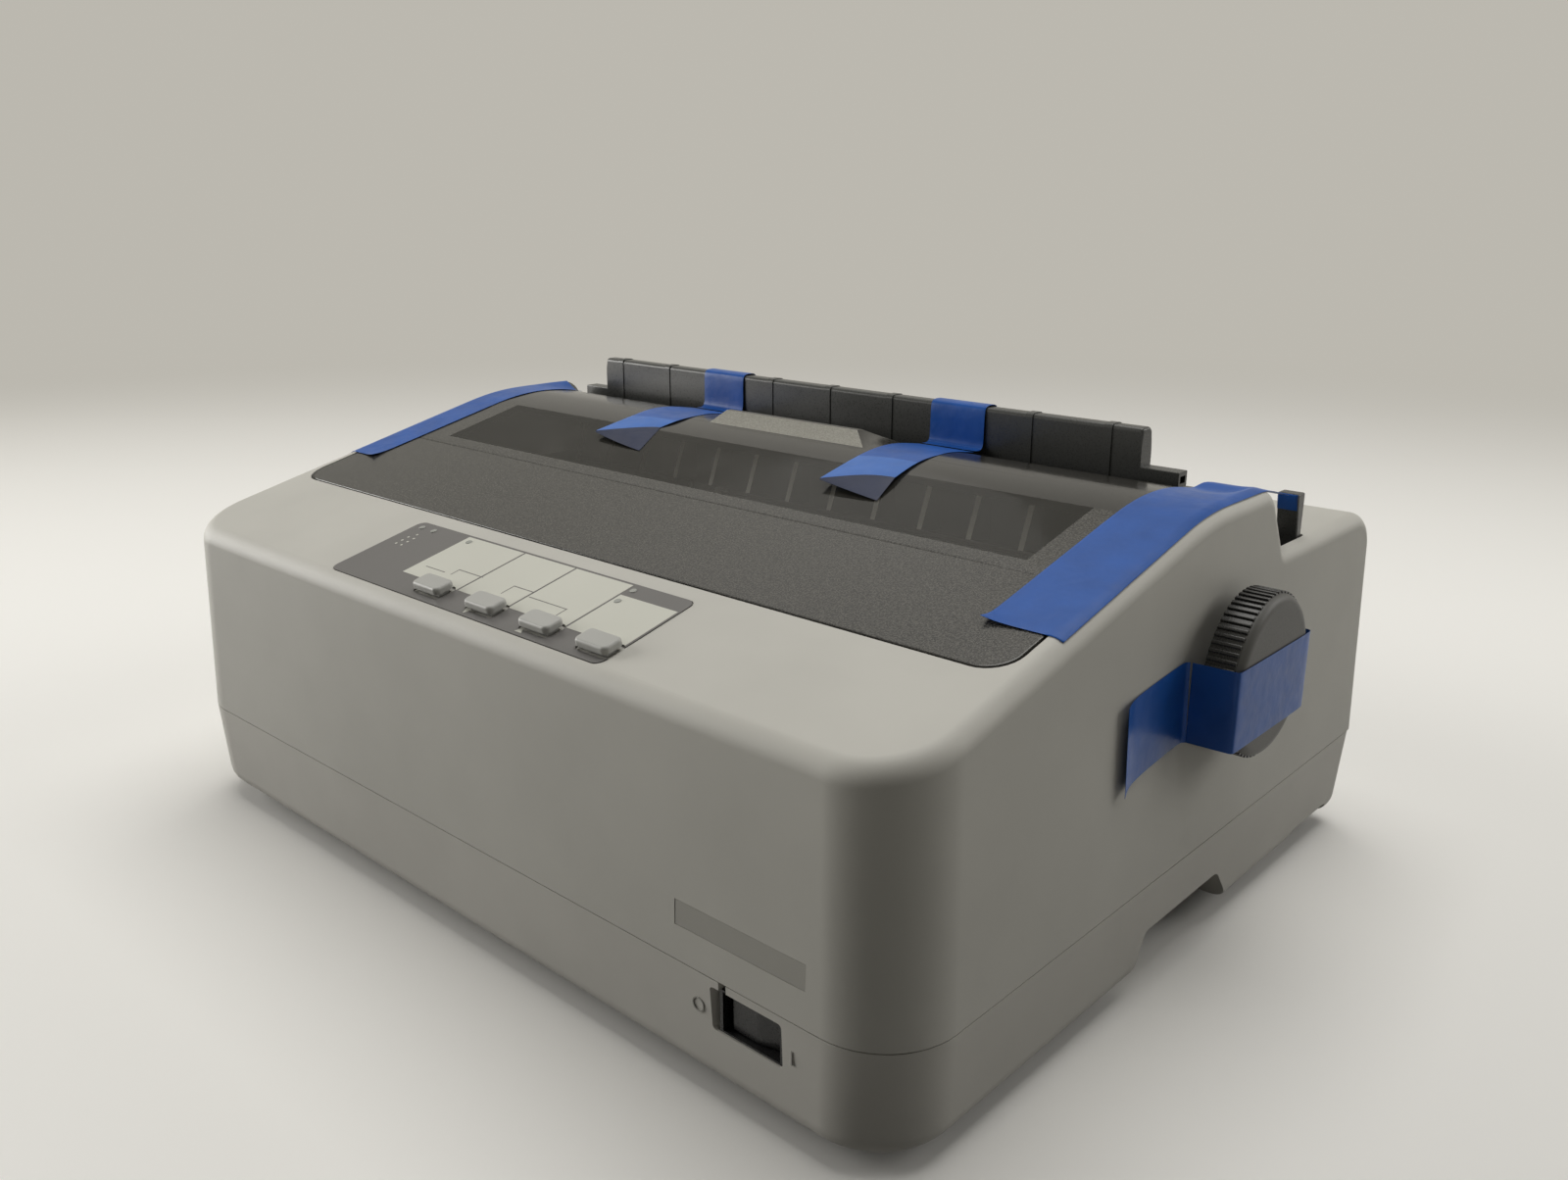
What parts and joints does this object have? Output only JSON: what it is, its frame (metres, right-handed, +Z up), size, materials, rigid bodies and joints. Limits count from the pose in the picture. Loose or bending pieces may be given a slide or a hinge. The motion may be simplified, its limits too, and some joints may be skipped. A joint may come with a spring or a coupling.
{
  "type": "dot matrix printer",
  "caption": "Desktop impact printer: sloping two-part case, smoked cover hinged at its front edge, paper separator, side knob, button panel, and a jointed head, platen and tractor mechanism.",
  "frame": {"origin": "middle of the printer's bounding box on the table, knob included", "axes": "+X towards the side with the platen knob, -Y towards the control panel, +Z up"},
  "size_m": [0.362, 0.275, 0.154],
  "materials": {
    "case_plastic": "fine-grained moulded, warm light grey",
    "lower_plastic": "fine-grained moulded, warm light grey",
    "smoked_plastic": "smoked clear, frosted grain outside the window",
    "charcoal_plastic": "fine-grained moulded, charcoal",
    "knob_plastic": "fine-grained moulded, charcoal",
    "panel_film": "printed film, satin",
    "button_plastic": "satin moulded",
    "black_plastic": "satin moulded",
    "board_green": "solder-masked laminate",
    "board_brown": "bare laminate",
    "rubber_black": "ground rubber",
    "steel_rod": "ground and polished",
    "zinc_sheet": "zinc-coated folded sheet",
    "motor_steel": "drawn steel can",
    "gear_plastic": "natural acetal",
    "brass": "turned",
    "head_cast": "dark cast fins",
    "carriage_plastic": "glass-filled moulding",
    "cable_film": "flat flexible film",
    "cartridge_plastic": "moulded",
    "lever_green": "moulded"
  },
  "bodies": {
    "case": {"upper_case": "case_plastic", "lower_case": "lower_plastic", "control_panel_sheet": "panel_film", "panel_board": "board_green", "power_switch_body": "black_plastic", "platen_bushings": "gear_plastic", "paper_chute": "charcoal_plastic", "paper_guide": "charcoal_plastic", "head_cable": "cable_film", "carriage_shaft": "steel_rod", "front_beam": "zinc_sheet", "carriage_belt": "rubber_black", "idler_holder": "carriage_plastic", "belt_tension_spring": "steel_rod", "carriage_motor": "motor_steel", "feed_motor": "motor_steel", "tractor_support_shaft": "steel_rod", "screws": "steel_rod", "chassis_base": "zinc_sheet", "left_frame": "zinc_sheet", "right_frame": "zinc_sheet", "main_board": "board_green", "power_board": "board_brown", "mains_inlet": "black_plastic", "rear_connectors": "motor_steel", "rubber_feet": "rubber_black"},
    "cover": {"printer_cover": "smoked_plastic"},
    "separator": {"paper_separator": "charcoal_plastic"},
    "sheet_guide": {"sheet_guide": "charcoal_plastic"},
    "edge_guide_left": {"edge_guide_left": "charcoal_plastic"},
    "edge_guide_right": {"edge_guide_right": "charcoal_plastic"},
    "button_1": {"button_1": "button_plastic"},
    "button_2": {"button_2": "button_plastic"},
    "button_3": {"button_3": "button_plastic"},
    "button_4": {"button_4": "button_plastic"},
    "rocker": {"power_rocker": "black_plastic"},
    "platen": {"platen_shaft": "steel_rod", "platen_roller": "rubber_black", "platen_gear": "gear_plastic", "platen_knob": "knob_plastic"},
    "feed_idler": {"feed_idler_gear": "gear_plastic"},
    "feed_pinion": {"feed_pinion": "brass"},
    "tractor_idler": {"tractor_idler_gear": "gear_plastic"},
    "tractor_drive": {"tractor_gear": "gear_plastic", "tractor_drive_shaft": "steel_rod"},
    "pinch_rollers": {"pinch_rollers": "rubber_black"},
    "carriage": {"carriage": "carriage_plastic", "print_head": "head_cast"},
    "drive_pulley": {"drive_pulley": "brass"},
    "idler_pulley": {"idler_pulley": "gear_plastic"},
    "cartridge": {"ribbon_cartridge": "cartridge_plastic"},
    "ribbon_knob": {"ribbon_knob": "cartridge_plastic"},
    "tractor_left": {"tractor_left": "carriage_plastic"},
    "tractor_right": {"tractor_right": "carriage_plastic"},
    "sprocket_left": {"sprocket_left": "gear_plastic"},
    "sprocket_right": {"sprocket_right": "gear_plastic"},
    "door_left": {"tractor_door_left": "carriage_plastic"},
    "door_right": {"tractor_door_right": "carriage_plastic"},
    "release_lever": {"release_lever": "charcoal_plastic"},
    "gap_lever": {"gap_lever": "lever_green"}
  },
  "joints": [
    {"name": "cover_hinge", "type": "hinge", "parent": "case", "child": "cover", "pos_m": [-0.007, -0.0835, 0.11585], "axis": [1, 0, 0], "range_deg": [0, 68]},
    {"name": "separator_lift", "type": "slide", "parent": "case", "child": "separator", "axis": [0, 0, 1], "range_m": [0, 0.03]},
    {"name": "sheet_guide_tilt", "type": "hinge", "parent": "case", "child": "sheet_guide", "pos_m": [-0.007, 0.071, 0.12], "axis": [1, 0, 0], "range_deg": [0, 60]},
    {"name": "edge_guide_left_slide", "type": "slide", "parent": "sheet_guide", "child": "edge_guide_left", "axis": [1, 0, 0], "range_m": [0, 0.04]},
    {"name": "edge_guide_right_slide", "type": "slide", "parent": "sheet_guide", "child": "edge_guide_right", "axis": [1, 0, 0], "range_m": [-0.036, 0]},
    {"name": "button_1_press", "type": "slide", "parent": "case", "child": "button_1", "axis": [0, 0.2357, -0.9718], "range_m": [0, 0.0008], "stiffness_N_per_m": 400, "springref_m": -0.001},
    {"name": "button_2_press", "type": "slide", "parent": "case", "child": "button_2", "axis": [0, 0.2357, -0.9718], "range_m": [0, 0.0008], "stiffness_N_per_m": 400, "springref_m": -0.001},
    {"name": "button_3_press", "type": "slide", "parent": "case", "child": "button_3", "axis": [0, 0.2357, -0.9718], "range_m": [0, 0.0008], "stiffness_N_per_m": 400, "springref_m": -0.001},
    {"name": "button_4_press", "type": "slide", "parent": "case", "child": "button_4", "axis": [0, 0.2357, -0.9718], "range_m": [0, 0.0008], "stiffness_N_per_m": 400, "springref_m": -0.001},
    {"name": "power_rocker_tilt", "type": "hinge", "parent": "case", "child": "rocker", "pos_m": [0.1203, -0.127, 0.029], "axis": [0, 0, 1], "range_deg": [-14, 0]},
    {"name": "platen_turn", "type": "hinge", "parent": "case", "child": "platen", "pos_m": [-0.007, 0.02, 0.094], "axis": [1, 0, 0], "continuous": true},
    {"name": "feed_idler_turn", "type": "hinge", "parent": "case", "child": "feed_idler", "pos_m": [-0.007, 0.00521, 0.06228], "axis": [1, 0, 0], "continuous": true},
    {"name": "feed_pinion_turn", "type": "hinge", "parent": "case", "child": "feed_pinion", "pos_m": [-0.007, 0.01571, 0.04409], "axis": [1, 0, 0], "continuous": true},
    {"name": "tractor_idler_turn", "type": "hinge", "parent": "case", "child": "tractor_idler", "pos_m": [-0.007, 0.05759, 0.08032], "axis": [1, 0, 0], "continuous": true},
    {"name": "tractor_drive_turn", "type": "hinge", "parent": "case", "child": "tractor_drive", "pos_m": [-0.007, 0.09043, 0.08912], "axis": [1, 0, 0], "continuous": true},
    {"name": "pinch_rollers_turn", "type": "hinge", "parent": "case", "child": "pinch_rollers", "pos_m": [-0.007, 0.03047, 0.07431], "axis": [1, 0, 0], "continuous": true},
    {"name": "carriage_slide", "type": "slide", "parent": "case", "child": "carriage", "axis": [1, 0, 0], "range_m": [0, 0.205], "deforming": ["head_cable"]},
    {"name": "drive_pulley_turn", "type": "hinge", "parent": "case", "child": "drive_pulley", "pos_m": [-0.143, -0.031, 0.044], "axis": [0, 1, 0], "range_deg": [-10, 1700]},
    {"name": "idler_pulley_turn", "type": "hinge", "parent": "case", "child": "idler_pulley", "pos_m": [0.111, -0.031, 0.044], "axis": [0, 1, 0], "range_deg": [-10, 1700]},
    {"name": "cartridge_lift", "type": "slide", "parent": "case", "child": "cartridge", "axis": [0, 0, 1], "range_m": [0, 0.008]},
    {"name": "ribbon_knob_turn", "type": "hinge", "parent": "cartridge", "child": "ribbon_knob", "pos_m": [-0.111, -0.064, 0.104], "axis": [0, 0, 1], "continuous": true},
    {"name": "tractor_left_slide", "type": "slide", "parent": "case", "child": "tractor_left", "axis": [1, 0, 0], "range_m": [0, 0.05]},
    {"name": "tractor_right_slide", "type": "slide", "parent": "case", "child": "tractor_right", "axis": [1, 0, 0], "range_m": [-0.06, 0.018]},
    {"name": "sprocket_left_turn", "type": "hinge", "parent": "tractor_left", "child": "sprocket_left", "pos_m": [-0.125, 0.09043, 0.08912], "axis": [1, 0, 0], "continuous": true},
    {"name": "sprocket_right_turn", "type": "hinge", "parent": "tractor_right", "child": "sprocket_right", "pos_m": [0.085, 0.09043, 0.08912], "axis": [1, 0, 0], "continuous": true},
    {"name": "tractor_door_left_swing", "type": "hinge", "parent": "tractor_left", "child": "door_left", "pos_m": [-0.1324, 0.09, 0.1044], "axis": [0, -1, 0], "range_deg": [0, 38]},
    {"name": "tractor_door_right_swing", "type": "hinge", "parent": "tractor_right", "child": "door_right", "pos_m": [0.0924, 0.09, 0.1044], "axis": [0, 1, 0], "range_deg": [0, 38]},
    {"name": "release_lever_swing", "type": "hinge", "parent": "case", "child": "release_lever", "pos_m": [0.1565, 0.075, 0.1085], "axis": [1, 0, 0], "range_deg": [0, 16]},
    {"name": "gap_lever_swing", "type": "hinge", "parent": "case", "child": "gap_lever", "pos_m": [-0.1585, -0.006, 0.092], "axis": [1, 0, 0], "range_deg": [0, 20]}
  ],
  "couplings": [
    {"joint": "feed_idler_turn", "follows": "platen_turn", "ratio": -1.3333},
    {"joint": "feed_pinion_turn", "follows": "platen_turn", "ratio": 3.3333},
    {"joint": "tractor_idler_turn", "follows": "platen_turn", "ratio": -1},
    {"joint": "tractor_drive_turn", "follows": "platen_turn", "ratio": 1.4286},
    {"joint": "sprocket_left_turn", "follows": "platen_turn", "ratio": 1.4286},
    {"joint": "sprocket_right_turn", "follows": "platen_turn", "ratio": 1.4286},
    {"joint": "pinch_rollers_turn", "follows": "platen_turn", "ratio": -3.4},
    {"joint": "drive_pulley_turn", "follows": "carriage_slide", "rad_per_m": 142.86},
    {"joint": "idler_pulley_turn", "follows": "carriage_slide", "rad_per_m": 142.86}
  ]
}
